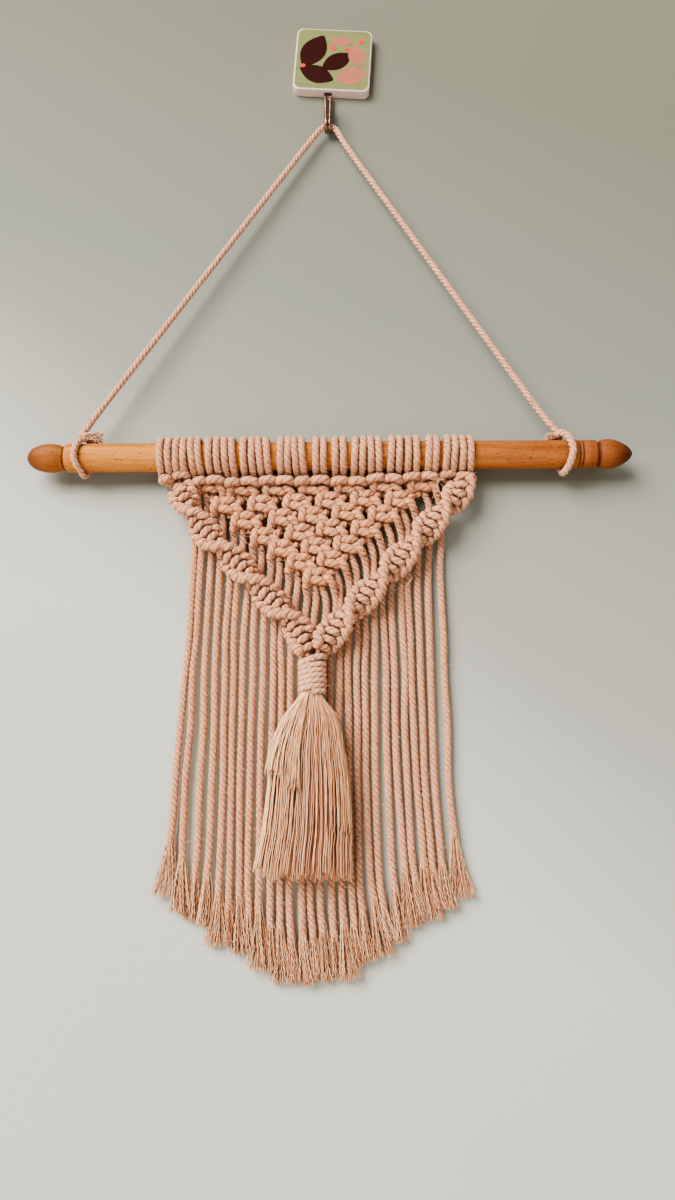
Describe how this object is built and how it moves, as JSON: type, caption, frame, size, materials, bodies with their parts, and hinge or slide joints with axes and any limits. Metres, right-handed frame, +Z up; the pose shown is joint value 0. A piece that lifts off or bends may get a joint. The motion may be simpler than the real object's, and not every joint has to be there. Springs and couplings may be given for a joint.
{
  "type": "macrame wall hanging on a wooden dowel with its wall hook",
  "caption": "Knotted cotton wall hanging: a triangular square-knot panel with spiral borders, tassel and long fringe, on a turned dowel hung by a cord from a plate-mounted wire hook.",
  "frame": {"origin": "centre of the hook plate's back face, where it sticks to the wall", "axes": "+X to the viewer's right along the wall, +Y out of the back into the wall, +Z up; the front faces -Y"},
  "size_m": [0.34, 0.0247, 0.5897],
  "materials": {
    "plate": "glossy pale plastic with a printed face",
    "hook": "antique bronze plating",
    "wood": "stained and satin varnished",
    "cord": "three-ply twisted cotton, dusty pink beige"
  },
  "bodies": {
    "root": {"hook_plate": "plate", "hook_wire": "hook", "dowel": "wood", "hanger_cord": "cord", "larks_head_01": "cord", "larks_head_02": "cord", "larks_head_03": "cord", "larks_head_04": "cord", "larks_head_05": "cord", "larks_head_06": "cord", "larks_head_07": "cord", "larks_head_08": "cord", "larks_head_09": "cord", "larks_head_10": "cord", "larks_head_11": "cord", "larks_head_12": "cord", "larks_head_13": "cord", "larks_head_14": "cord", "larks_head_15": "cord", "larks_head_16": "cord", "larks_head_17": "cord", "larks_head_18": "cord", "knotted_panel": "cord", "fringe": "cord", "sennit_left": "cord", "sennit_right": "cord", "wrap": "cord", "tassel": "cord"}
  },
  "joints": []
}
